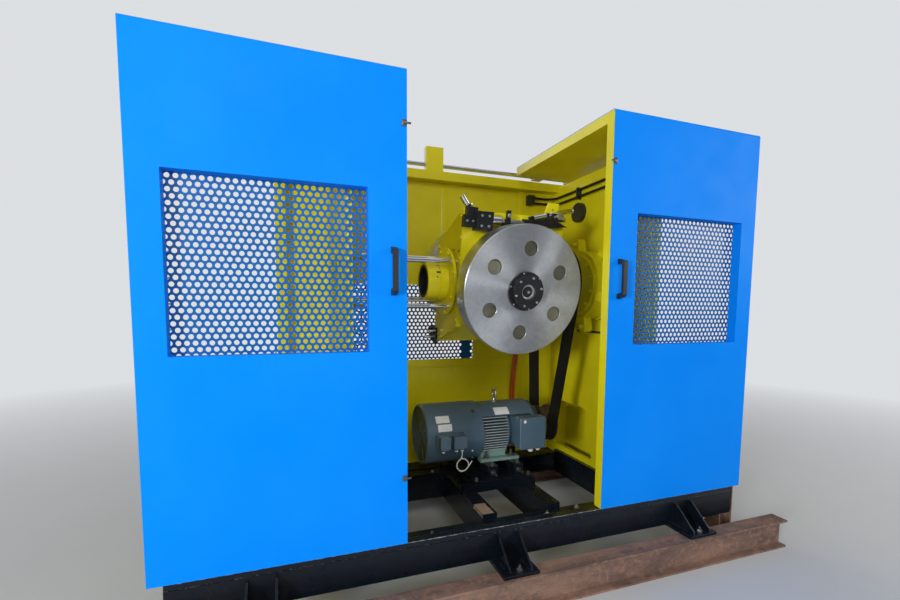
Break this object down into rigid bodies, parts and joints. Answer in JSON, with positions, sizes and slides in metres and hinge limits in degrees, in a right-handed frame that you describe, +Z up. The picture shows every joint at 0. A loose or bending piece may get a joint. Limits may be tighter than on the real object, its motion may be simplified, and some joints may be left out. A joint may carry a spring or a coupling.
{
  "type": "cable taping machine",
  "caption": "Cable taping machine: rotating head with tape pads on both sides, belt driven by a motor low in the frame, inside sliding hoods with screened windows.",
  "frame": {"origin": "on the floor, under the middle of the machine", "axes": "+X along the cable path, front and operator towards -Y, +Z up"},
  "size_m": [3.4, 1.4, 2.41],
  "materials": {
    "rusty_steel": "rusted hot-rolled steel",
    "black_paint": "gloss black paint",
    "blue_paint": "semi-gloss blue paint",
    "yellow_paint": "semi-gloss yellow paint",
    "black_plastic": "moulded",
    "chrome": "ground and chromed",
    "steel": "turned",
    "aluminium": "faced",
    "black_steel": "blackened",
    "cast_iron": "cast, lightly rusted",
    "belt_rubber": "smooth",
    "motor_grey": "grey enamel",
    "green_primer": "pale green primer",
    "hose_rubber": "smooth hose",
    "orange_hose": "smooth hose",
    "white_lead": "sheathed lead"
  },
  "bodies": {
    "frame": {"base_cross_members": "black_paint", "base_feet": "black_paint", "base_rails": "black_paint", "bearing_housing": "yellow_paint", "blower_lead": "white_lead", "blower_lead_coil": "white_lead", "drive_belt": "belt_rubber", "end_post": "rusty_steel", "front_track": "black_paint", "guide_rod": "chrome", "housing_lugs": "yellow_paint", "junction_boxes": "motor_grey", "left_bulkhead": "yellow_paint", "motor_base": "black_paint", "motor_bell": "motor_grey", "motor_cowl": "motor_grey", "motor_feet": "green_primer", "motor_frame": "motor_grey", "orange_leads": "orange_hose", "rear_screen": "blue_paint", "rear_top_beam": "yellow_paint", "rear_wall": "yellow_paint", "right_bulkhead": "yellow_paint", "support_beams": "rusty_steel", "terminal_box": "motor_grey", "wall_fittings": "black_plastic", "wall_hoses": "hose_rubber"},
    "left_hood": {"left_hood_brackets": "yellow_paint", "left_hood_handle": "black_plastic", "left_hood_panels": "yellow_paint", "left_hood_rollers": "steel", "left_hood_screen": "blue_paint", "left_hood_skin": "blue_paint"},
    "right_hood": {"right_hood_brackets": "yellow_paint", "right_hood_handle": "black_plastic", "right_hood_panels": "yellow_paint", "right_hood_rollers": "steel", "right_hood_screen": "blue_paint", "right_hood_skin": "blue_paint"},
    "head": {"cage_ring": "steel", "cage_rods": "chrome", "guide_rollers": "chrome", "head_end_plates": "yellow_paint", "head_pulley": "cast_iron", "head_shaft": "steel", "head_side_plates": "yellow_paint", "lower_guide_gear": "black_steel", "nose_tube": "yellow_paint", "upper_guide_gear": "black_steel"},
    "front_pad": {"front_pad_cover": "aluminium", "front_pad_drum": "aluminium", "front_pad_hub": "black_steel"},
    "rear_pad": {"rear_pad_cover": "aluminium", "rear_pad_drum": "aluminium", "rear_pad_hub": "black_steel"},
    "motor_rotor": {"motor_pulley": "cast_iron"}
  },
  "joints": [
    {"name": "left_hood_slide", "type": "slide", "parent": "frame", "child": "left_hood", "axis": [1, 0, 0], "range_m": [0, 0.512]},
    {"name": "right_hood_slide", "type": "slide", "parent": "frame", "child": "right_hood", "axis": [-1, 0, 0], "range_m": [0, 0.512]},
    {"name": "head_spin", "type": "hinge", "parent": "frame", "child": "head", "pos_m": [0.7, 0.023, 1.5175], "axis": [1, 0, 0], "continuous": true},
    {"name": "front_pad_spin", "type": "hinge", "parent": "head", "child": "front_pad", "pos_m": [0.1505, -0.29288, 1.46634], "axis": [0, 0.9871, 0.1599], "continuous": true},
    {"name": "rear_pad_spin", "type": "hinge", "parent": "head", "child": "rear_pad", "pos_m": [0.1505, 0.33888, 1.56866], "axis": [0, 0.9871, 0.1599], "continuous": true},
    {"name": "motor_spin", "type": "hinge", "parent": "frame", "child": "motor_rotor", "pos_m": [0.555, 0.108, 0.629], "axis": [1, 0, 0], "continuous": true}
  ],
  "couplings": [
    {"joint": "motor_spin", "follows": "head_spin", "ratio": 2.3}
  ]
}
